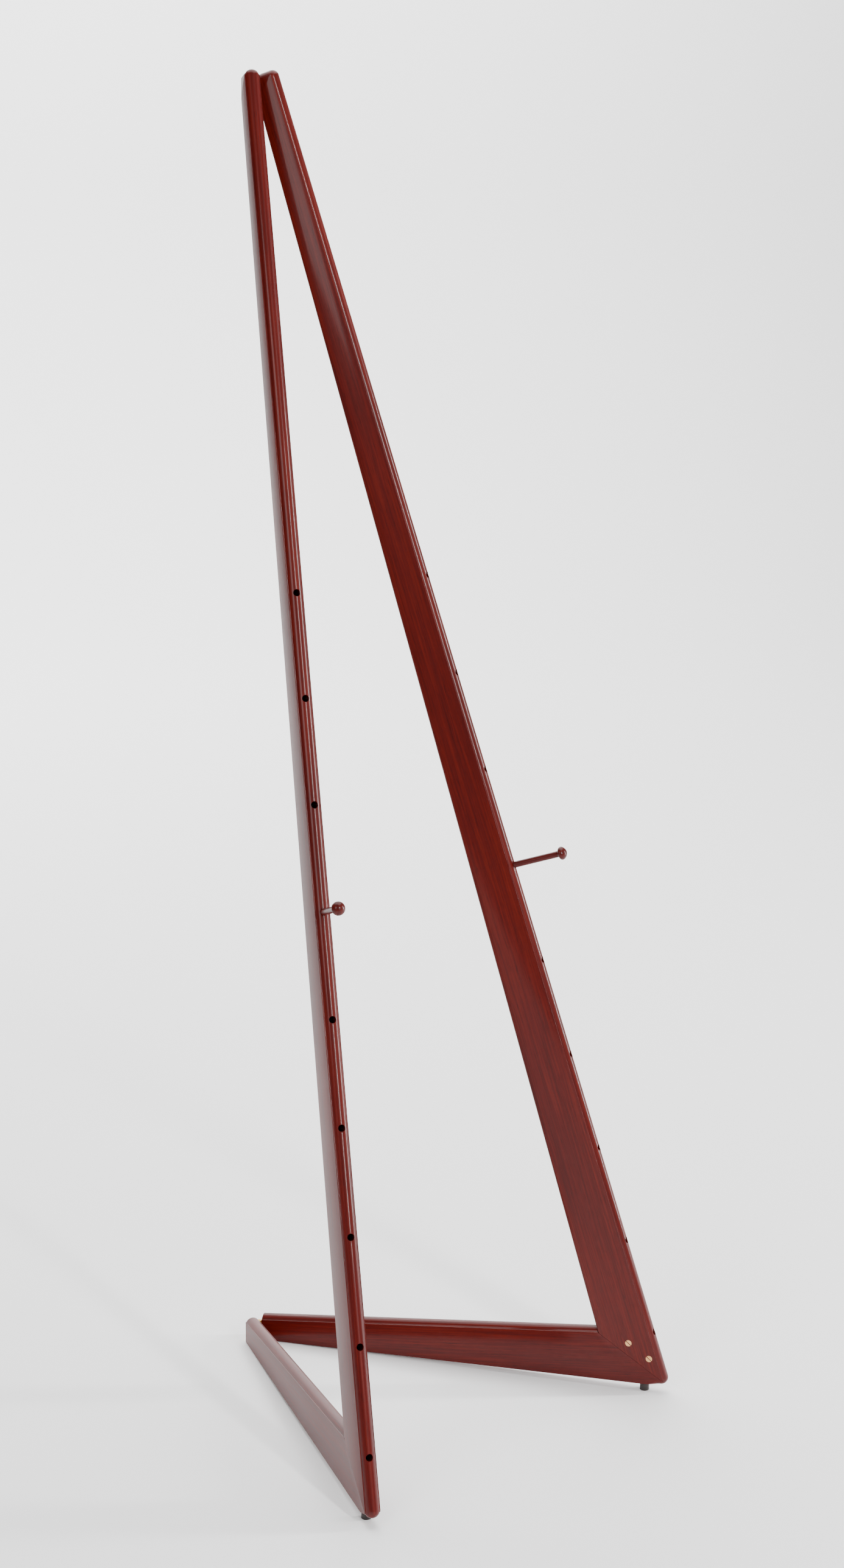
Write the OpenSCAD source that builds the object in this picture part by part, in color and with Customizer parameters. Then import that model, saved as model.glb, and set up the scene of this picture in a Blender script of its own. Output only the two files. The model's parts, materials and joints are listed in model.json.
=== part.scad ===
// Folding display easel: two wooden wings that open like a book on a vertical hinge line.
// Each wing is an L: a stile leaning back over a foot rail, mitred at the front corner.
// Wing coordinates: x runs forward from the hinge pin, y through the wood, z up from the floor.

/* [Overall] */
// height of the stile tops above the floor
stand_height = 1658; // [1500:1:1760]
// angle between the two wings as the stand is used
opening = 55; // [40:1:70]
// from the hinge pin forward to the front bottom corner of a wing
reach = 561.6; // [520:0.1:600]
// thickness of the wood
thickness = 19; // [18:0.5:22]

/* [Stile] */
// how far the front top corner is ahead of the hinge pin
top_reach = 23.1; // [21:0.1:27]
// level width of the stile at the bottom corner
stile_foot = 77.5; // [72:0.5:84]
// height of the upright cut at the back of the stile top
plumb_cut = 44.7; // [42:0.1:50]
// rounding of the front top corner
top_round = 8; // [5:0.5:9]

/* [Foot rail] */
// height of the rail at its rear end
rail_rear = 34.3; // [33:0.1:38]
// height of the rail's top edge, carried on to the front corner
rail_front = 89; // [82:0.5:94]
// height of the front bottom corner above the floor
foot_lift = 11.2; // [9:0.1:13]
// rounding of the front bottom corner
toe_round = 9; // [6:0.5:10]

/* [Bead] */
// flat step left on each side of the rounded edge
bead_step = 1; // [0.6:0.1:1.4]
// how far the rounded edge stands out from that step
bead_depth = 5.7; // [5:0.1:6.2]

/* [Peg holes] */
// number of holes up each stile
hole_count = 9; // [6:1:10]
// spacing of the holes along the edge
hole_pitch = 127; // [110:1:130]
// first hole, measured along the edge from the bottom corner
first_hole = 73.5; // [68:0.5:90]
// hole diameter
hole_d = 8.6; // [8.4:0.1:9]
// hole depth
hole_depth = 28.5; // [26:0.5:30]
// hole the pegs stand in, counted from the top
peg_at = 4; // [1:1:6]

/* [Peg] */
// shaft diameter
peg_d = 8; // [7:0.1:8]
// from the stile's edge to the widest part of the head
peg_out = 63.2; // [50:0.1:80]
// head radius
head_r = 8.4; // [8:0.1:9]

/* [Hinges] */
// height of a hinge leaf
leaf_height = 26; // [24:1:27]
// width of a hinge leaf
leaf_width = 16; // [15:0.5:16.5]
// thickness of a hinge leaf
leaf_thick = 1.5; // [1.2:0.1:1.6]
// radius of the hinge knuckles
knuckle_r = 3; // [2.8:0.1:3.1]
// radius of the hinge pin
pin_r = 1.5; // [1.3:0.1:1.6]

/* [Hidden] */
$fn = 96;
pin_set = 3.5;                      // the pin stands this far behind the wood
face_gap = 0.4;                     // half the gap left between the folded wings
half = opening / 2;
mid = face_gap + thickness / 2;     // middle of the wood's thickness
floor_slope = foot_lift / (reach - pin_set);
rail_slope = (rail_front - rail_rear) / (reach - pin_set);
lean = atan((reach - top_reach) / (stand_height - foot_lift));
knee_z = stand_height - plumb_cut;
back_slope = (reach - stile_foot - pin_set) / (knee_z - foot_lift);
edge_len = (stand_height - foot_lift) / cos(lean);
bead_w = thickness - 2 * bead_step;
bead_arc = bead_depth - 0.2;        // the curve starts just above the shoulder
bead_r = (bead_w * bead_w / 4 + bead_arc * bead_arc) / (2 * bead_arc);
rail_tilt = atan(rail_slope);
floor_tilt = atan(floor_slope);

// inner corner: the rail's bead shoulder meets the back of the stile
shoulder_rear = rail_rear - bead_depth / cos(rail_tilt);
inner_z = (shoulder_rear + rail_slope * (reach - stile_foot + back_slope * foot_lift - pin_set))
    / (1 + rail_slope * back_slope);
inner_x = reach - stile_foot - (inner_z - foot_lift) * back_slope;
mitre_len = norm([reach - inner_x, foot_lift - inner_z]);
mitre_dir = atan2(foot_lift - inner_z, reach - inner_x);

// centre of the rounded toe, the same distance from the front edge and the floor edge
toe_half = (90 - lean - floor_tilt) / 2;
toe_a = 180 + floor_tilt - toe_half;
toe_x = reach + toe_round / sin(toe_half) * cos(toe_a);
toe_z = foot_lift + toe_round / sin(toe_half) * sin(toe_a);

// a point given from the bottom corner: out from the front edge, and up along it
function on_edge(out, up) = [reach + out * cos(lean) - up * sin(lean),
                             foot_lift + out * sin(lean) + up * cos(lean)];
function on_mitre(along, over) = [inner_x + along * cos(mitre_dir) - over * sin(mitre_dir),
                                  inner_z + along * sin(mitre_dir) + over * cos(mitre_dir)];
top_centre = on_edge(-top_round, edge_len - top_round);
run_on = 10;                        // how far the boards run on past the cuts that end them
head_ring = 3.6;                    // radius of the head's rounded rim
toe_side = 5.2;                     // the foremost point of a toe lies this far inside its middle
front_y = cos(half) * (toe_x + toe_round) - sin(half) * (mid - toe_side);
rear_y = sin(half) * (face_gap + thickness) - cos(half) * pin_set;
frame_y = (front_y - rear_y) / 2;   // puts the origin under the middle of the stand
glide_x = 527;
glide_r = 6;
glide_top = floor_slope * (glide_x - pin_set);
top_hinge_z = stand_height - 26;
low_hinge_z = 15;

module right_wing() translate([0, frame_y, 0]) rotate([0, 0, half - 90]) children();
module left_wing() translate([0, frame_y, 0]) mirror([1, 0, 0]) rotate([0, 0, half - 90]) children();

// a slab of the wood's thickness, or of any depth range, from an outline in x and z
module slab(outline, y0, y1) translate([0, y1, 0]) rotate([90, 0, 0])
    linear_extrude(y1 - y0) polygon(outline);

// cross-section of the rounded edge: apex at x = out, s across, reaching back to x = root
module bead_section(out, root) intersection() {
    translate([out - bead_r, 0]) circle(r = bead_r);
    translate([root, -bead_w / 2]) square([out + 1 - root, bead_w]);
}

// the rounded edge up the front of the wing, running on past both ends
module front_bead() translate([reach, mid, foot_lift]) rotate([0, -lean, 0])
    translate([0, 0, -4 * run_on]) linear_extrude(edge_len + 8 * run_on)
        bead_section(0, -bead_depth - 2);

// the rounded edge along the top of the foot rail
module rail_bead() translate([pin_set, mid, rail_rear]) rotate([0, -rail_tilt, 0])
    translate([-run_on, 0, 0]) rotate([90, 0, 90])
        linear_extrude((inner_x - pin_set) / cos(rail_tilt) + 2 * run_on)
            rotate([0, 0, 90]) bead_section(0, -bead_depth - 2);

// points round an arc, for the outline's corners
function arc(centre, r, a0, a1, steps = 8) = [for (i = [0 : steps])
    centre + r * [cos(a0 + (a1 - a0) * i / steps), sin(a0 + (a1 - a0) * i / steps)]];

// everything inside a wing's outer edges: floor, toe, front, top and hinge end
module outer_shape() slab(concat([[pin_set, 0]],
    arc([toe_x, toe_z], toe_round, floor_tilt - 90, lean),
    arc(top_centre, top_round, lean, lean + 90),
    [[pin_set, on_edge(0, edge_len)[1] - (top_reach - pin_set) * tan(lean)]]),
    -5, thickness + 5);

// the stile's board up to the shoulder of its bead, running on past its cuts
module stile_board() slab([on_edge(-bead_depth, -3 * run_on),
    on_edge(-bead_depth, edge_len + run_on), [pin_set - 2 * run_on, stand_height + 2 * run_on],
    [pin_set - run_on, knee_z + run_on / back_slope],
    [inner_x + run_on * back_slope, inner_z - run_on]], face_gap, face_gap + thickness);

// the foot rail's board up to the shoulder of its bead, running on past its cuts
module rail_board() slab([[pin_set - run_on, -3 * run_on], on_edge(-bead_depth, -4 * run_on),
    on_edge(-bead_depth, 3 * run_on), [inner_x + run_on, inner_z + run_on * rail_slope],
    [pin_set - run_on, shoulder_rear - run_on * rail_slope]], face_gap, face_gap + thickness);

// cuts: above the mitre, below it, and behind the stile's back edge
module above_mitre() slab([on_mitre(mitre_len + 30, 0), on_mitre(-30, 0),
    [-run_on, inner_z + 60], [-run_on, stand_height + 50], [reach + 60, stand_height + 50]],
    -8, thickness + 8);
module below_mitre() slab([[-run_on, -40], [reach + 60, -40], on_mitre(mitre_len + 30, 0),
    on_mitre(-30, 0), [-run_on, inner_z + 60]], -8, thickness + 8);
module behind_stile() slab([[pin_set, -20], [inner_x + 60 * back_slope - 0.1, inner_z - 60],
    [inner_x - 60 * back_slope - 0.1, inner_z + 60], [pin_set, inner_z + 60]],
    -8, thickness + 8);

// hidden tongue glued across the mitre
module spline_block() translate([inner_x, mid, inner_z]) rotate([0, -mitre_dir, 0])
    translate([14, -3, -12]) cube([66, 6, 30]);

// places of the two corner screws, along and over the mitre
module at_corner_screws() for (along = [39.5, 72.4])
    translate([on_mitre(along, 14.4)[0], 0.1, on_mitre(along, 14.4)[1]])
        rotate([-90, 0, 0]) children();

// slotted screw, head face at z = 0 and the shank going up z
module slotted_screw(head_d, shank_d, head_h, len, slot_a) difference() {
    union() {
        cylinder(r1 = head_d / 2, r2 = shank_d / 2, h = head_h);
        cylinder(r = shank_d / 2, h = len);
    }
    rotate([0, 0, slot_a]) translate([-head_d, -head_d * 0.07, -1])
        cube([2 * head_d, head_d * 0.14, 1 + head_h * 0.45]);
}
// the hole such a screw sits in
module screw_hole(head_d, shank_d, head_h, len) {
    translate([0, 0, -1]) cylinder(r = head_d / 2 + 0.05, h = 1.3);
    translate([0, 0, 0.3]) cylinder(r1 = head_d / 2 + 0.05, r2 = shank_d / 2 + 0.05, h = head_h);
    translate([0, 0, -1]) cylinder(r = shank_d / 2 + 0.05, h = len + 1.2);
}

// raised head on the corner screws, then the countersunk screw below it
module corner_screw() difference() {
    union() {
        cylinder(r = 4.2, h = 0.3);
        translate([0, 0, 0.3]) cylinder(r1 = 4.2, r2 = 2, h = 2.4);
        cylinder(r = 2, h = 15);
    }
    rotate([0, 0, 40]) translate([-6, -0.5, -1]) cube([12, 1, 2]);
}

// hinge screws sit in the leaf's two countersinks and run forward into the wood
module at_hinge_screws(z0) for (up = [-8, 8])
    translate([pin_set - leaf_thick, mid - 0.6, z0 + up]) rotate([0, 90, 0]) children();

// where the glide stands under the rail
module at_glide() translate([glide_x, mid, 0]) children();

// nail moulded into the glide: flat head low in the plastic, shank up into the wood
module nail_shape() {
    translate([0, 0, 4]) cylinder(r = 3.2, h = 1.2);
    translate([0, 0, 4]) cylinder(r = 1.2, h = 14);
}

module stile_body() color([0.42, 0.13, 0.06]) difference() {
    intersection() {
        union() {
            stile_board();
            front_bead();
        }
        above_mitre();
        outer_shape();
    }
    spline_block();
    at_corner_screws() screw_hole(8.4, 4, 2.4, 15);
    at_hinge_screws(top_hinge_z) screw_hole(4.6, 2.4, 1.3, 12);
    for (k = [0 : hole_count - 1])
        translate([on_edge(0, first_hole + k * hole_pitch)[0], mid,
                   on_edge(0, first_hole + k * hole_pitch)[1]])
            rotate([0, 90 - lean, 0]) translate([0, 0, -hole_depth])
                cylinder(r = hole_d / 2, h = hole_depth + 5);
}

module rail_body() color([0.38, 0.11, 0.06]) difference() {
    union() {
        intersection() {
            union() {
                rail_board();
                front_bead();
            }
            below_mitre();
            outer_shape();
        }
        intersection() {
            rail_bead();
            behind_stile();
        }
    }
    spline_block();
    at_hinge_screws(low_hinge_z) screw_hole(4.6, 2.4, 1.3, 12);
    at_glide() nail_shape();
}

module spline_body() color([0.75, 0.6, 0.4]) difference() {
    spline_block();
    at_corner_screws() cylinder(r = 2.05, h = 16);
}

module corner_screws_body() color([0.85, 0.65, 0.3]) at_corner_screws() corner_screw();

module glide_body() color([0.12, 0.09, 0.08]) difference() {
    at_glide() cylinder(r = glide_r, h = glide_top + 2);
    at_glide() nail_shape();
    slab([[glide_x - 20, floor_slope * (glide_x - 20 - pin_set)],
          [glide_x + 20, floor_slope * (glide_x + 20 - pin_set)],
          [glide_x + 20, 40], [glide_x - 20, 40]], 0, thickness + 1);
}

module glide_nail_body() color([0.7, 0.7, 0.72]) at_glide() nail_shape();

// turned peg: shaft, flared neck, rounded rim and domed end, turned about its own axis
module peg_profile() {
    dome_r = 8.87;
    polygon([[0, -hole_depth + 0.3], [peg_d / 2 - 0.8, -hole_depth + 0.3],
             [peg_d / 2, -hole_depth + 1.5], [peg_d / 2, peg_out - 2], [0, peg_out - 2]]);
    difference() {
        translate([0, peg_out - 6.5]) square([6.4, 5]);
        translate([peg_d / 2 + 3.9, peg_out - 6.7]) circle(r = 3.9);
    }
    translate([0, peg_out - head_ring]) square([head_r - head_ring, 2 * head_ring - 0.6]);
    translate([head_r - head_ring, peg_out]) circle(r = head_ring);
    intersection() {
        translate([0, peg_out - 2.17]) circle(r = dome_r);
        translate([0, peg_out]) square([head_r - 0.32, 8]);
    }
}
module peg_body() color([0.4, 0.14, 0.07]) {
    spot = on_edge(0, first_hole + (hole_count - peg_at) * hole_pitch);
    translate([spot[0], mid, spot[1]]) rotate([0, 90 - lean, 0]) rotate_extrude() peg_profile();
}

// hinge leaf: plate on the wood's rear face and the knuckles it carries
module leaf(z0, knuckles, clear) {
    k = leaf_height / 3;
    color([0.8, 0.6, 0.25]) difference() {
        union() {
            difference() {
                translate([pin_set - leaf_thick, 0.25, z0 - leaf_height / 2])
                    cube([leaf_thick, leaf_width, leaf_height]);
                for (i = [0 : 2]) if (knuckles[i] == 0)
                    translate([0, -1, z0 - leaf_height / 2 + i * k - 0.15])
                        cube([pin_set + 1, 1 + knuckle_r + 0.4, k + 0.3]);
            }
            for (i = [0 : 2]) if (knuckles[i] == 1)
                translate([0, 0, z0 - leaf_height / 2 + i * k + (i == 0 ? 0 : 0.1)])
                    cylinder(r = knuckle_r, h = k - (i == 1 ? 0.2 : 0.1));
        }
        translate([0, 0, z0 - leaf_height]) cylinder(r = pin_r + clear, h = 2 * leaf_height);
        at_hinge_screws(z0) {
            translate([0, 0, -0.01]) cylinder(r1 = 2.4, r2 = 1.25, h = 1.31);
            translate([0, 0, -1]) cylinder(r = 1.25, h = 8);
        }
    }
}
module hinge_screws(z0) color([0.85, 0.65, 0.3]) at_hinge_screws(z0)
    slotted_screw(4.6, 2.4, 1.25, 12, 25);
module hinge_pin(z0) color([0.8, 0.62, 0.3])
    translate([0, 0, z0 - leaf_height / 2 - 0.4]) cylinder(r = pin_r, h = leaf_height + 0.8);

module left_stile() left_wing() stile_body();
module right_stile() right_wing() stile_body();
module left_foot_rail() left_wing() rail_body();
module right_foot_rail() right_wing() rail_body();
module left_corner_spline() left_wing() spline_body();
module right_corner_spline() right_wing() spline_body();
module left_corner_screws() left_wing() corner_screws_body();
module right_corner_screws() right_wing() corner_screws_body();
module left_glide() left_wing() glide_body();
module right_glide() right_wing() glide_body();
module left_glide_nail() left_wing() glide_nail_body();
module right_glide_nail() right_wing() glide_nail_body();
module left_peg() left_wing() peg_body();
module right_peg() right_wing() peg_body();
module top_hinge_left_leaf() left_wing() leaf(top_hinge_z, [0, 1, 0], 0.05);
module top_hinge_right_leaf() right_wing() leaf(top_hinge_z, [1, 0, 1], 0);
module top_hinge_pin() right_wing() hinge_pin(top_hinge_z);
module top_hinge_left_screws() left_wing() hinge_screws(top_hinge_z);
module top_hinge_right_screws() right_wing() hinge_screws(top_hinge_z);
module low_hinge_left_leaf() left_wing() leaf(low_hinge_z, [0, 1, 0], 0.05);
module low_hinge_right_leaf() right_wing() leaf(low_hinge_z, [1, 0, 1], 0);
module low_hinge_pin() right_wing() hinge_pin(low_hinge_z);
module low_hinge_left_screws() left_wing() hinge_screws(low_hinge_z);
module low_hinge_right_screws() right_wing() hinge_screws(low_hinge_z);

left_stile();
right_stile();
left_foot_rail();
right_foot_rail();
left_corner_spline();
right_corner_spline();
left_corner_screws();
right_corner_screws();
left_glide();
right_glide();
left_glide_nail();
right_glide_nail();
left_peg();
right_peg();
top_hinge_left_leaf();
top_hinge_right_leaf();
top_hinge_pin();
top_hinge_left_screws();
top_hinge_right_screws();
low_hinge_left_leaf();
low_hinge_right_leaf();
low_hinge_pin();
low_hinge_left_screws();
low_hinge_right_screws();
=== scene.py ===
"""Folding display easel in red-brown mahogany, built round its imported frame."""
import json
import math

import bmesh
import bpy
import numpy as np
from mathutils import Matrix


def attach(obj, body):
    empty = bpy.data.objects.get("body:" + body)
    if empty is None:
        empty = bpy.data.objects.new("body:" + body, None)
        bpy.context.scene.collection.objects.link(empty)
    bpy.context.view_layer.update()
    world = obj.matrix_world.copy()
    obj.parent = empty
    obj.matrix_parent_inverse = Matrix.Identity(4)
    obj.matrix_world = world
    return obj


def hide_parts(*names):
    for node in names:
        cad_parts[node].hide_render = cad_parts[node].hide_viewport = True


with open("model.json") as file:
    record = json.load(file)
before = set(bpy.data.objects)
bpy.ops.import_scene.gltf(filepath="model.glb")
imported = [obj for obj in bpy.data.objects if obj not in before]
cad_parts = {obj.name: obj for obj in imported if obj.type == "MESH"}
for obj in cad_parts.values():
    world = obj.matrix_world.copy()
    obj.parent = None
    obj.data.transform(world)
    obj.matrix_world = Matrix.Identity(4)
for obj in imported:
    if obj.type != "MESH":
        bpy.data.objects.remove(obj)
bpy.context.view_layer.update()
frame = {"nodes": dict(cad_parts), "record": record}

# ---------------------------------------------------------------------------------------------
# The stiles: one leaning board per wing, tapered, with a rounded bead worked along its front
# edge and over its top, an eased back edge, an upright cut for the hinge and a mitred foot.
# Both wings are cut alike and handed; mm in a wing's own plane, u forward from the hinge pin,
# s through the wood from the plane between the wings, z up from the floor.
# ---------------------------------------------------------------------------------------------
MM = 0.001
fold = [joint for joint in frame["record"]["behaviour"]["joints"] if joint["name"] == "fold"][0]
pin_y = fold["pos_m"][1]
half_open = math.radians(27.5)
sides = {"left": -1, "right": 1}

thick = 19.0
mid = 0.4 + thick / 2
hinge_end = 3.5
corner = np.array([561.6, 11.2])
top_corner = np.array([23.1, 1658.0])
knee = np.array([hinge_end, 1613.3])
inner_corner = np.array([465.31, 73.84])
lean = math.atan2(corner[0] - top_corner[0], top_corner[1] - corner[1])
floor_tilt = math.atan2(corner[1], corner[0] - hinge_end)
edge_out = np.array([math.cos(lean), math.sin(lean)])
edge_up = np.array([-math.sin(lean), math.cos(lean)])
edge_len = float((top_corner - corner) @ edge_up)
toe_round = 9.0
top_round = 8.0
seam = 0.12
stile_ease = 2.4

bead_step = 1.0
bead_depth = 5.7
bead_half = thick / 2 - bead_step
bead_radius = (bead_half ** 2 + bead_depth ** 2) / (2 * bead_depth)


def bead_rim(count=12):
    """Depths from the edge and half-widths of the bead: an arc from the crown out to the
    shoulder, then the small flat step and its softened corner."""
    turn = np.linspace(0, math.asin(bead_half / bead_radius), count)
    depth = bead_radius * (1 - np.cos(turn))
    half = bead_radius * np.sin(turn)
    depth = np.r_[depth, bead_depth, bead_depth + 0.12, bead_depth + 0.4]
    half = np.r_[half, thick / 2 - 0.45, thick / 2 - 0.12, thick / 2]
    return depth, half


def eased_rim(radius, count=15):
    """Depths and half-widths of a square edge whose two arrises are rounded to a radius."""
    turn = np.linspace(0, math.pi / 2, count - 2)
    depth = np.r_[0, 0, radius * (1 - np.cos(turn[1:])), radius + 0.3]
    half = np.r_[0, thick / 2 - radius, thick / 2 - radius + radius * np.sin(turn[1:]), thick / 2]
    return depth, half


def meet(p, along, q, across):
    """The point where the line through p along one direction meets the line through q."""
    t, _ = np.linalg.solve(np.array([along, -np.asarray(across)]).T, np.asarray(q) - p)
    return p + t * np.asarray(along)


def toe_centre():
    """Centre of the toe's rounding: equally far in from the front edge and the floor edge."""
    half_angle = (math.pi / 2 - lean - floor_tilt) / 2
    direction = math.pi + floor_tilt - half_angle
    reach = toe_round / math.sin(half_angle)
    return corner + reach * np.array([math.cos(direction), math.sin(direction)])


toe = toe_centre()
mitre = (corner - inner_corner) / np.linalg.norm(corner - inner_corner)
mitre_over = np.array([-mitre[1], mitre[0]])


def toe_mitre(depth, side):
    """Where the toe's arc, taken in by a depth, crosses the mitre, a hair to one side of it."""
    start = inner_corner + side * seam * mitre_over
    offset = toe - start
    q = offset @ mitre
    c = offset @ mitre_over
    return start + mitre * (q + np.sqrt((toe_round - depth) ** 2 - c ** 2))


def polar(centre, radius, angle):
    """Points round a centre: centre plus radius, one or one each, times each direction."""
    return centre + np.asarray(radius)[..., None] * np.stack([np.cos(angle), np.sin(angle)], -1)


def blend_line(a, b, t):
    """Points from a to b at the fractions t."""
    return a + (b - a) * np.asarray(t)[:, None]


def stile_outline():
    """The stile as ribs across it. Each rib runs in from the front edge through the bead's
    depths and ends at the back edge's depths; ribs start on the mitre, climb the front edge,
    turn the top corner and finish down the upright cut. Gives (ribs, points, 2) and halves."""
    depths, halves = bead_rim()
    backs, back_halves = eased_rim(stile_ease)
    toe_t = np.linspace(0, 1, 7)[:-1]
    rise_t = np.linspace(0, 1, 260)
    top_t = np.linspace(0, 1, 12)[1:]
    over_t = np.linspace(0, 1, 6)[1:]
    back_t = np.r_[0.004 * toe_t, 0.004 + 0.996 * rise_t, np.ones(len(top_t) + len(over_t))]
    columns = []
    for depth in depths:
        first = toe_mitre(depth, 1) - toe
        start = math.atan2(first[1], first[0])
        round_toe = polar(toe, toe_round - depth, start + (lean - start) * toe_t)
        foot = toe + (toe_round - depth) * edge_out
        top_centre = corner - top_round * edge_out + (edge_len - top_round) * edge_up
        head = top_centre + (top_round - depth) * edge_out
        rise = blend_line(foot, head, rise_t)
        turned = polar(top_centre, top_round - depth, lean + math.pi / 2 * top_t)
        crown = top_centre + (top_round - depth) * edge_up
        end = meet(crown, -edge_out, [hinge_end, 0], [0, 1])
        columns.append(np.concatenate([round_toe, rise, turned, blend_line(crown, end, over_t)]))
    back_line = (knee - inner_corner) / np.linalg.norm(knee - inner_corner)
    inward = np.array([back_line[1], -back_line[0]])
    for depth in backs[::-1]:
        start = meet(inner_corner + depth * inward, back_line,
                     inner_corner + seam * mitre_over, mitre)
        end = meet(inner_corner + depth * inward, back_line, [hinge_end, 0], [0, 1])
        columns.append(blend_line(start, end, back_t))
    return np.stack(columns, 1), np.r_[halves, back_halves[::-1]]


def place(side, u, s, z):
    """Wing coordinates to the stand's own: turned about the upright pin by half the opening,
    the left wing being the mirror image of the right."""
    x = side * (math.sin(half_open) * u + math.cos(half_open) * s)
    y = -math.cos(half_open) * u + math.sin(half_open) * s
    return np.stack([x * MM, pin_y + y * MM, z * MM], -1)


def make_mesh(name, points, faces, sharp=35):
    """A closed piece from its points and faces: doubles merged, normals outward, smooth but
    for edges sharper than the given angle."""
    mesh = bpy.data.meshes.new(name)
    mesh.from_pydata(points, [], faces)
    work = bmesh.new()
    work.from_mesh(mesh)
    bmesh.ops.remove_doubles(work, verts=work.verts, dist=2e-6)
    bmesh.ops.dissolve_degenerate(work, edges=work.edges, dist=1e-7)
    bmesh.ops.recalc_face_normals(work, faces=work.faces)
    work.to_mesh(mesh)
    work.free()
    mesh.polygons.foreach_set("use_smooth", np.ones(len(mesh.polygons), bool))
    mesh.set_sharp_from_angle(angle=math.radians(sharp))
    piece = bpy.data.objects.new(name, mesh)
    bpy.context.scene.collection.objects.link(piece)
    return piece


def ribbed(name, side, outline, halves, sharp=35):
    """A board from its ribs: each rib becomes a ring, out along one face and back along the
    other, and the first and last rings are closed straight across."""
    ribs, reach = outline.shape[:2]
    halves = np.broadcast_to(halves, (ribs, reach))
    out = place(side, outline[..., 0], mid + halves, outline[..., 1])
    back = place(side, outline[..., 0], mid - halves, outline[..., 1])[:, -2:0:-1]
    rings = np.concatenate([out, back], 1)
    ring = rings.shape[1]
    i, j = np.meshgrid(np.arange(ribs - 1), np.arange(ring), indexing="ij")
    k = (j + 1) % ring
    walls = np.stack([i * ring + j, i * ring + k, (i + 1) * ring + k, (i + 1) * ring + j], -1)
    j = np.arange(reach - 1)
    cap = np.stack([j, j + 1, (ring - j - 1) % ring, (ring - j) % ring], -1)
    faces = walls.reshape(-1, 4).tolist()
    faces += [list(dict.fromkeys(face)) for face in cap.tolist()]
    faces += [list(dict.fromkeys(face)) for face in (cap + (ribs - 1) * ring).tolist()]
    return make_mesh(name, rings.reshape(-1, 3).tolist(), faces, sharp)


hole_count = 9
hole_pitch = 127.0
first_hole = 73.5
hole_radius = 4.3
hole_depth = 28.5


def lathe(profile, seat, axis, around=48):
    """Points and faces of a turned shape: radii and heights of the profile swung round an axis
    from a seat point, in the stand's own metres. The first and last radii are nought."""
    axis = np.asarray(axis) / np.linalg.norm(axis)
    side_a = np.cross(axis, [0.31, 0.95, 0.05])
    side_a /= np.linalg.norm(side_a)
    side_b = np.cross(axis, side_a)
    turn = np.linspace(0, 2 * math.pi, around, endpoint=False)
    spoke = np.cos(turn)[:, None] * side_a + np.sin(turn)[:, None] * side_b
    radius, height = np.asarray(profile).T * MM
    points = seat + radius[:, None, None] * spoke + height[:, None, None] * axis
    i, j = np.meshgrid(np.arange(len(radius) - 1), np.arange(around), indexing="ij")
    k = (j + 1) % around
    faces = np.stack([i * around + j, i * around + k, (i + 1) * around + k,
                      (i + 1) * around + j], -1)
    return points.reshape(-1, 3), faces.reshape(-1, 4)


def hole_seat(side, up):
    """Middle of a peg hole's mouth, that far up the front edge from the bottom corner."""
    u, z = corner + up * edge_up
    return place(side, u, mid, z)


def hole_axis(side):
    """The way a peg points out of its hole: square to the front edge."""
    return place(side, edge_out[0], 0, edge_out[1]) - place(side, 0, 0, 0)


def drill(board, side):
    """Bores the peg holes: a row of round-ended cutters, even along the edge, taken out."""
    profile = [(0, -hole_depth), (hole_radius, -hole_depth), (hole_radius, 6), (0, 6)]
    points, faces = [], []
    for k in range(hole_count):
        tool, skin = lathe(profile, hole_seat(side, first_hole + k * hole_pitch), hole_axis(side))
        faces += (skin + sum(map(len, points))).tolist()
        points.append(tool)
    cutter = make_mesh("hole_cutter", np.concatenate(points).tolist(), faces)
    bore = board.modifiers.new("bore", "BOOLEAN")
    bore.operation, bore.solver, bore.object = "DIFFERENCE", "EXACT", cutter
    cut = bpy.data.meshes.new_from_object(
        board.evaluated_get(bpy.context.evaluated_depsgraph_get()))
    board.modifiers.remove(bore)
    board.data = cut
    cut.name = board.name
    bpy.data.objects.remove(cutter)
    cut.set_sharp_from_angle(angle=math.radians(35))


class Signal:
    """A value that changes over a surface; arithmetic on it adds Math nodes."""

    def __init__(self, finish, socket):
        self.finish, self.socket = finish, socket

    def math(self, operation, a, b=0.0):
        return self.finish.node("ShaderNodeMath", {"operation": operation}, {0: a, 1: b})

    def __add__(self, other):
        return self.math("ADD", self, other)

    __radd__ = __add__

    def __sub__(self, other):
        return self.math("SUBTRACT", self, other)

    def __rsub__(self, other):
        return self.math("SUBTRACT", other, self)

    def __mul__(self, other):
        return self.math("MULTIPLY", self, other)

    __rmul__ = __mul__

    def limited(self):
        """The value held between nought and one."""
        return self.finish.node("ShaderNodeClamp", {}, {0: self})


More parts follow.
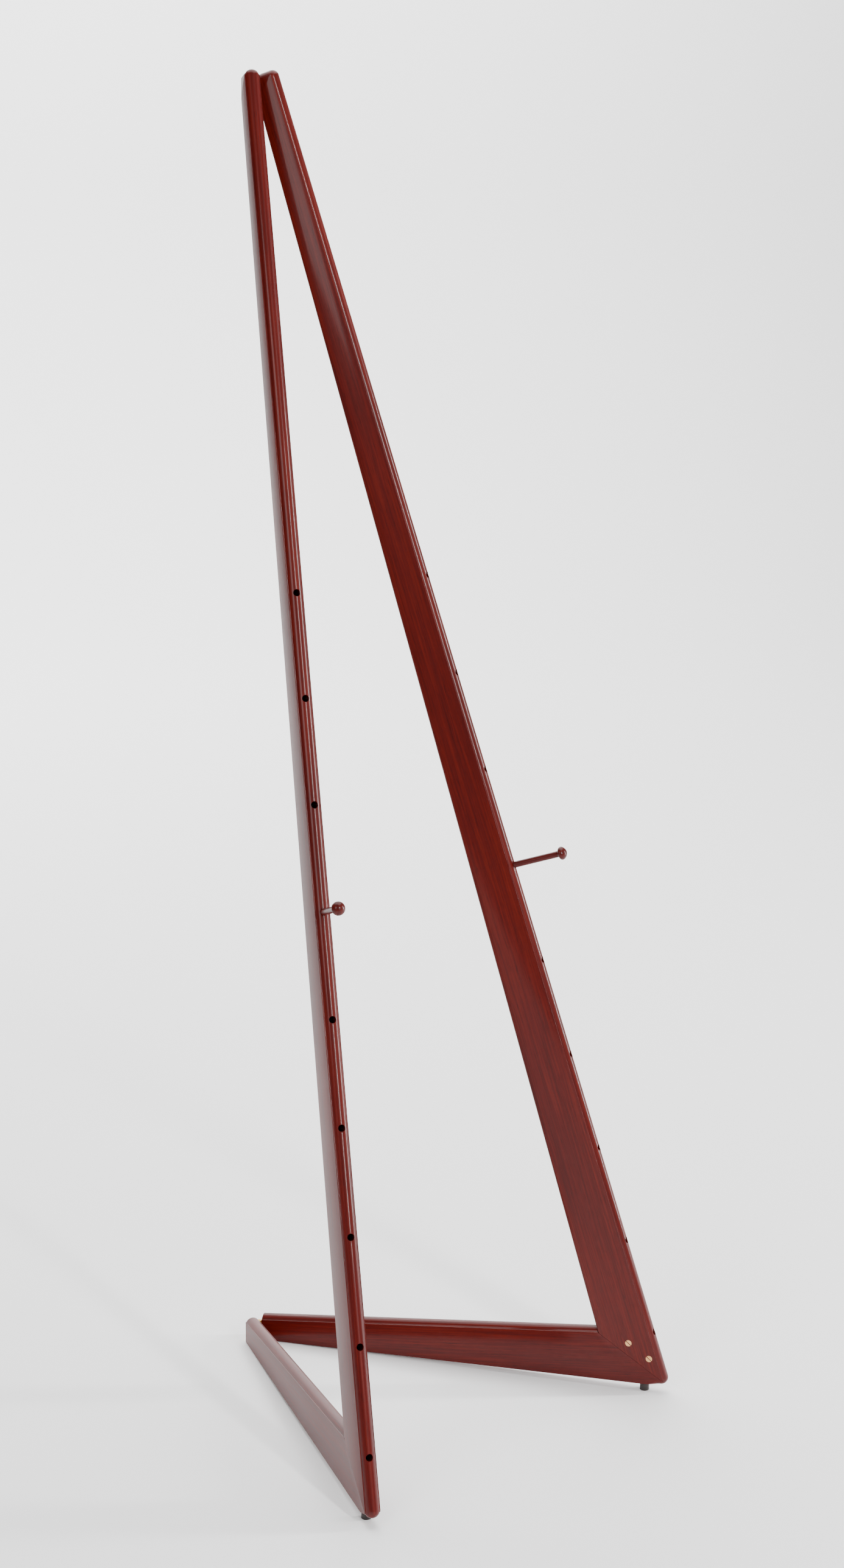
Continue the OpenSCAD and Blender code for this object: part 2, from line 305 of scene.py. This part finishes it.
class Finish:
    """A material: one principled shader, and the one method that adds any other node."""

    def __init__(self, name, **constants):
        self.material = bpy.data.materials.new(name)
        self.material.use_nodes = True
        self.tree = self.material.node_tree
        self.shader = self.tree.nodes["Principled BSDF"]
        for socket, value in constants.items():
            self.shader.inputs[socket.replace("_", " ")].default_value = value

    def link(self, target, value):
        if isinstance(value, Signal):
            self.tree.links.new(value.socket, target)
        else:
            target.default_value = value

    def node(self, kind, settings, values, out=0):
        """Adds a node: its settings first, a ramp's stops among them, then its sockets."""
        made = self.tree.nodes.new(kind)
        for key, value in settings.items():
            if key == "stops":
                ramp = made.color_ramp
                while len(ramp.elements) < len(value):
                    ramp.elements.new(0.5)
                for element, (place_at, colour) in zip(ramp.elements, value):
                    element.position, element.color = place_at, (*colour, 1)
            else:
                setattr(made, key, value)
        for key, value in values.items():
            self.link(made.inputs[key], value)
        return Signal(self, made.outputs[out])

    def feed(self, socket, value):
        self.link(self.shader.inputs[socket], value)

    def noise(self, vector, scale, detail=3.0, roughness=0.55):
        """Even noise from nought to one."""
        return self.node("ShaderNodeTexNoise", {}, {
            "Vector": vector, "Scale": scale, "Detail": detail, "Roughness": roughness})


def mahogany(name, along, across, through, origin, seed, light=1.0):
    """Red-brown stained mahogany under satin lacquer. Its figure is solid, in distances along
    the grain, across it and through the board: broad bands, long fibres, and short dark pores."""
    wood = Finish(name, Specular_IOR_Level=0.15, Coat_Roughness=0.1, Coat_IOR=1.5)
    spot = wood.node("ShaderNodeTexCoord", {}, {}, out="Object")
    spot = wood.node("ShaderNodeVectorMath", {"operation": "SUBTRACT"},
                     {0: spot, 1: tuple(origin)})
    a, b, c = [wood.node("ShaderNodeVectorMath", {"operation": "DOT_PRODUCT"},
                         {0: spot, 1: tuple(axis)}, out="Value")
               for axis in (along, across, through)]

    def stretched(k_along, k_across):
        return wood.node("ShaderNodeCombineXYZ", {}, {
            0: a * k_along + seed, 1: b * k_across, 2: c * k_across})

    sway = wood.noise(stretched(2.2, 9.0), 1.0, 2.0) - 0.5
    bands = wood.node("ShaderNodeCombineXYZ", {}, {
        0: a * 1.3 + seed, 1: b * 110.0 + sway * 4.0, 2: c * 110.0})
    bands = wood.noise(bands, 1.0, 2.0)
    fibres = wood.noise(stretched(9.0, 420.0), 1.0, 3.0, 0.6)
    pores = wood.noise(stretched(60.0, 1500.0), 1.0, 1.0)
    pores = ((pores - 0.60) * 9.0).limited()
    patch = wood.noise(stretched(3.0, 6.0), 1.0, 1.0)
    tone = (bands * 0.24 + fibres * 0.52 + patch * 0.26 - 0.05).limited()
    stain = wood.node("ShaderNodeValToRGB", {"stops": [
        (0.25, (0.040 * light, 0.0008 * light, 0.0005 * light)),
        (0.45, (0.074 * light, 0.0020 * light, 0.0008 * light)),
        (0.60, (0.110 * light, 0.0050 * light, 0.0014 * light)),
        (0.80, (0.170 * light, 0.0140 * light, 0.0032 * light))]}, {0: tone})
    dark = wood.node("ShaderNodeMix", {"data_type": "RGBA", "blend_type": "MULTIPLY"},
                     {"Factor": pores * 0.55, 6: stain, 7: (0.35, 0.25, 0.25, 1)}, out=2)
    wood.feed("Base Color", dark)
    wood.feed("Roughness", 0.34 + fibres * 0.1)
    wood.feed("Coat Weight", 0.19 + fibres * 0.06)
    height = fibres * 0.35 - pores * 0.8 + patch * 0.6
    wood.feed("Normal", wood.node("ShaderNodeBump", {}, {
        "Strength": 0.12, "Distance": 0.0004, "Height": height}, out=0))
    return wood.material


def wing_axis(side, u, s, z):
    """A direction in a wing's plane as a direction in the stand's own axes."""
    return place(side, u, s, z) / MM - place(side, 0, 0, 0) / MM


for number, (hand, side) in enumerate(sides.items()):
    outline, halves = stile_outline()
    stile = ribbed(hand + "_stile_wood", side, outline, halves)
    drill(stile, side)
    stile.data.materials.clear()
    stile.data.materials.append(mahogany(
        "mahogany_" + hand + "_stile", wing_axis(side, edge_up[0], 0, edge_up[1]),
        wing_axis(side, edge_out[0], 0, edge_out[1]), wing_axis(side, 0, 1, 0),
        place(side, corner[0], mid, corner[1]), 3.7 * number))
    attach(stile, hand + "_wing")
    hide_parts(hand + "_stile")

# ---------------------------------------------------------------------------------------------
# The foot rails: one tapered board per wing, lying from the hinge to the toe, with the same bead
# along its top edge up to the stile's back, a nearly square floor edge, and its front end
# mitred to the stile; the bead wraps round the toe and a little way under it.
# ---------------------------------------------------------------------------------------------
rail_rear = 34.3
rail_front = 89.0
rail_tilt = math.atan2(rail_front - rail_rear, corner[0] - hinge_end)
floor_ease = 1.0
under_toe = 0.965


def rail_outline():
    """The foot rail as ribs across it, from the bead on top down to the floor edge, from the
    hinge end forward; the last ribs fan out from the inner corner to the toe and round it to
    the mitre. Over the fan the floor edge's rim grows into the bead's, by a smooth step."""
    depths, halves = bead_rim()
    lows, low_halves = eased_rim(floor_ease)
    rail_along = np.array([math.cos(rail_tilt), math.sin(rail_tilt)])
    rail_in = np.array([rail_along[1], -rail_along[0]])
    floor_along = np.array([math.cos(floor_tilt), math.sin(floor_tilt)])
    floor_in = np.array([-floor_along[1], floor_along[0]])
    back_line = (knee - inner_corner) / np.linalg.norm(knee - inner_corner)
    run_t = np.linspace(0, 1, 70)
    fan_t = np.linspace(0, 1, 12)[1:]
    toe_t = np.linspace(0, 1, 12)[1:]
    fan = np.ones(len(fan_t) + len(toe_t))
    columns = []
    for depth in depths:
        line = np.array([hinge_end, rail_rear]) + depth * rail_in
        start = meet(line, rail_along, [hinge_end, 0], [0, 1])
        if depth < bead_depth - 0.01:
            end = meet(line, rail_along, inner_corner - [2 * seam, 0], back_line)
        else:
            end = meet(line, rail_along, inner_corner - seam * mitre_over, mitre)
        columns.append(blend_line(start, end, np.r_[run_t, fan]))
    fade = np.r_[np.zeros(len(run_t)), fan_t, np.ones(len(toe_t))]
    fade = (fade * fade * (3 - 2 * fade))[:, None]
    low_depths = lows * (1 - fade) + depths * fade
    low_halves = low_halves * (1 - fade) + halves * fade
    for k in range(len(depths))[::-1]:
        depth = low_depths[:, k]
        begin = -math.pi / 2 + floor_tilt
        at_toe = polar(toe, toe_round - depth[0], begin)
        start = meet(np.array([hinge_end, 0]) + lows[k] * floor_in, floor_along,
                     [hinge_end, 0], [0, 1])
        wrap_start = start + under_toe * (at_toe - start)
        run = blend_line(start, wrap_start, run_t)
        sunk = (depth[len(run_t):len(run_t) + len(fan_t)] - depth[0])[:, None]
        fanned = blend_line(wrap_start, at_toe, fan_t) + sunk * floor_in
        last = toe_mitre(depth[-1], -1) - toe
        finish = math.atan2(last[1], last[0])
        round_toe = polar(toe, toe_round - depth[-len(toe_t):], begin + (finish - begin) * toe_t)
        columns.append(np.concatenate([run, fanned, round_toe]))
    widths = np.concatenate([np.broadcast_to(halves, (len(fade), len(halves))),
                             low_halves[:, ::-1]], 1)
    return np.stack(columns, 1), widths


for number, (hand, side) in enumerate(sides.items()):
    outline, widths = rail_outline()
    rail = ribbed(hand + "_foot_rail_wood", side, outline, widths)
    rail.data.materials.append(mahogany(
        "mahogany_" + hand + "_rail", wing_axis(side, math.cos(rail_tilt), 0, math.sin(rail_tilt)),
        wing_axis(side, -math.sin(rail_tilt), 0, math.cos(rail_tilt)), wing_axis(side, 0, 1, 0),
        place(side, hinge_end, mid, 0), 11.3 + 5.1 * number))
    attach(rail, hand + "_wing")
    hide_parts(hand + "_foot_rail")

# ---------------------------------------------------------------------------------------------
# The pegs: one per wing, turned from the same wood with a button head on a plain shaft, pushed
# into the fourth hole from the top.
# ---------------------------------------------------------------------------------------------
peg_radius = 4.0
peg_hole = 5
rim_out = 63.2
rim_radius = 3.6
head_radius = 8.4
cove_radius = 3.9


def peg_profile():
    """Radii and heights from the hole's end out: softened tail, shaft, hollow cove, rounded rim
    and a dome that carries on from the rim without a crease."""
    rim_at = head_radius - rim_radius
    dome_turn = math.radians(24.3)
    dome_radius = rim_radius + rim_at / math.cos(dome_turn)
    dome_at = rim_out - rim_at * math.tan(dome_turn)
    cove = np.radians(np.linspace(180, 112, 12))
    rim = np.linspace(math.radians(-52), dome_turn, 16)
    dome = np.linspace(dome_turn, math.pi / 2, 16)[1:]
    parts = [[(0, 0.3 - hole_depth), (peg_radius - 0.8, 0.3 - hole_depth),
              (peg_radius, 1.5 - hole_depth), (peg_radius, 0), (peg_radius, 30)],
             np.stack([peg_radius + cove_radius + cove_radius * np.cos(cove),
                       rim_out - 6.5 + cove_radius * np.sin(cove)], -1),
             np.stack([rim_at + rim_radius * np.cos(rim), rim_out + rim_radius * np.sin(rim)], -1),
             np.stack([dome_radius * np.cos(dome), dome_at + dome_radius * np.sin(dome)], -1)]
    return np.concatenate(parts)


for number, (hand, side) in enumerate(sides.items()):
    seat = hole_seat(side, first_hole + peg_hole * hole_pitch)
    points, faces = lathe(peg_profile(), seat, hole_axis(side), 64)
    peg = make_mesh(hand + "_peg_wood", points.tolist(), faces.tolist(), 50)
    peg.data.materials.append(mahogany(
        "mahogany_" + hand + "_peg", hole_axis(side) / MM,
        wing_axis(side, edge_up[0], 0, edge_up[1]), wing_axis(side, 0, 1, 0),
        seat, 23.9 + 4.3 * number, 0.85))
    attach(peg, hand + "_peg")
    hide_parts(hand + "_peg")

# ---------------------------------------------------------------------------------------------
# The metal and plastic: brass butt hinges and pins, brass slotted screws, dark plastic glides on
# steel nails, and the bare wood splines hidden in the mitres.
# ---------------------------------------------------------------------------------------------


def metal(name, colour, roughness, scale):
    """Plated metal, a little clouded: colour and gloss vary gently over it."""
    plate = Finish(name, Metallic=1.0)
    spot = plate.node("ShaderNodeTexCoord", {}, {}, out="Object")
    cloud = plate.noise(spot, scale, 3.0)
    plate.feed("Base Color", plate.node("ShaderNodeMix", {"data_type": "RGBA"}, {
        "Factor": cloud, 6: (*[c * 0.82 for c in colour], 1), 7: (*colour, 1)}, out=2))
    plate.feed("Roughness", roughness + cloud * 0.12)
    return plate.material


def plain(name, colour, roughness, scale):
    """A plain unpolished surface with a faint mottle."""
    body = Finish(name, Metallic=0.0)
    spot = body.node("ShaderNodeTexCoord", {}, {}, out="Object")
    mottle = body.noise(spot, scale, 3.0)
    body.feed("Base Color", body.node("ShaderNodeMix", {"data_type": "RGBA"}, {
        "Factor": mottle, 6: (*[c * 0.8 for c in colour], 1), 7: (*colour, 1)}, out=2))
    body.feed("Roughness", roughness + mottle * 0.15)
    return body.material


finishes = {
    "brass": metal("plated_brass", (0.62, 0.40, 0.16), 0.28, 220.0),
    "screw_brass": metal("bright_brass", (0.70, 0.40, 0.19), 0.26, 300.0),
    "nail_steel": metal("nail_steel", (0.55, 0.55, 0.57), 0.35, 300.0),
    "glide": plain("glide_plastic", (0.022, 0.013, 0.011), 0.42, 200.0),
    "raw_wood": plain("spline_wood", (0.52, 0.34, 0.17), 0.6, 160.0),
}
for entry in frame["record"]["subparts"]:
    if entry["material_slot"] in finishes:
        node = frame["nodes"][entry["node"]]
        node.data.materials.clear()
        node.data.materials.append(finishes[entry["material_slot"]])

# ---------------------------------------------------------------------------------------------
# The room: a pale seamless floor that rises behind, soft light from overhead and both sides.
# ---------------------------------------------------------------------------------------------


view_yaw = 0.7977


def sweep():
    """Floor and backdrop in one sheet: level under the stand, curving up behind it."""
    bend, far, high = 1.5, 5.0, 6.0
    turn = np.linspace(0, math.pi / 2, 24)
    run = np.r_[-2.4, far + bend * np.sin(turn), far + bend]
    rise = np.r_[0.0, bend * (1 - np.cos(turn)), high]
    across = np.array([-14.0, 14.0])
    view = np.array([math.sin(view_yaw), math.cos(view_yaw)])
    side_way = np.array([view[1], -view[0]])
    ground = run[:, None, None] * view + across[None, :, None] * side_way
    points = np.concatenate([ground, np.broadcast_to(rise[:, None, None], (len(run), 2, 1))], 2)
    i = np.arange(len(run) - 1)
    faces = np.stack([2 * i, 2 * i + 1, 2 * i + 3, 2 * i + 2], -1)
    mesh = bpy.data.meshes.new("studio_floor")
    mesh.from_pydata(points.reshape(-1, 3).tolist(), [], faces.tolist())
    mesh.polygons.foreach_set("use_smooth", np.ones(len(mesh.polygons), bool))
    floor = bpy.data.objects.new("studio_floor", mesh)
    bpy.context.scene.collection.objects.link(floor)
    return floor


floor = sweep()
paper = Finish("white_paper", Base_Color=(0.93, 0.93, 0.93, 1), Roughness=0.9)
paper.feed("Specular IOR Level", 0.1)
floor.data.materials.append(paper.material)


def soft_light(name, spot, aim, size, power, colour=(1, 1, 1)):
    """A square soft box at a spot, turned to face its aim."""
    lamp = bpy.data.lights.new(name, "AREA")
    lamp.shape, lamp.size, lamp.size_y = "RECTANGLE", size[0], size[1]
    lamp.energy, lamp.color = power, colour
    box = bpy.data.objects.new(name, lamp)
    away = np.asarray(spot, float) - np.asarray(aim, float)
    away /= np.linalg.norm(away)
    right = np.cross([0, 0, 1], away)
    right /= np.linalg.norm(right)
    up = np.cross(away, right)
    box.matrix_world = Matrix(np.block([
        [np.stack([right, up, away], 1), np.asarray(spot, float)[:, None]],
        [np.zeros((1, 3)), np.ones((1, 1))]]).tolist())
    bpy.context.scene.collection.objects.link(box)


soft_light("overhead", (0.8, 0.6, 3.6), (0.5, 0.4, 0.0), (3.6, 3.6), 185)
soft_light("left_window", (-3.6, -0.9, 2.4), (0, 0, 1.3), (1.6, 2.0), 60)
soft_light("front_left", (-1.1, -3.9, 2.3), (0, 0, 1.2), (0.18, 2.2), 150)
soft_light("right_front", (3.0, -2.5, 1.35), (0, 0, 0.9), (0.16, 2.3), 200)
soft_light("backdrop_wash", (1.0, 4.4, 4.8), (1.9, 6.0, 1.8), (7.0, 2.0), 800)

world = bpy.data.worlds.new("room")
world.use_nodes = True
world.node_tree.nodes["Background"].inputs["Color"].default_value = (1, 1, 1, 1)
world.node_tree.nodes["Background"].inputs["Strength"].default_value = 0.14
bpy.context.scene.world = world

# ---------------------------------------------------------------------------------------------
# The camera: a long lens from the front left, a little above the stand's middle.
# ---------------------------------------------------------------------------------------------
yaw, pitch, roll = view_yaw, -0.2181, 0.0105
forward = np.array([math.sin(yaw) * math.cos(pitch), math.cos(yaw) * math.cos(pitch),
                    math.sin(pitch)])
right = np.array([math.cos(yaw), -math.sin(yaw), 0.0])
up = np.cross(right, forward)
right, up = (math.cos(roll) * right + math.sin(roll) * up,
             -math.sin(roll) * right + math.cos(roll) * up)
eye = np.array([-2.3641, pin_y - 2.6018, 1.5453])
lens = bpy.data.cameras.new("camera")
lens.sensor_fit, lens.sensor_height, lens.lens = "VERTICAL", 36.0, 64.18
camera = bpy.data.objects.new("camera", lens)
camera.matrix_world = Matrix(np.block([
    [np.stack([right, up, -forward], 1), eye[:, None]],
    [np.zeros((1, 3)), np.ones((1, 1))]]).tolist())
bpy.context.scene.collection.objects.link(camera)
bpy.context.scene.camera = camera

bpy.context.view_layer.update()
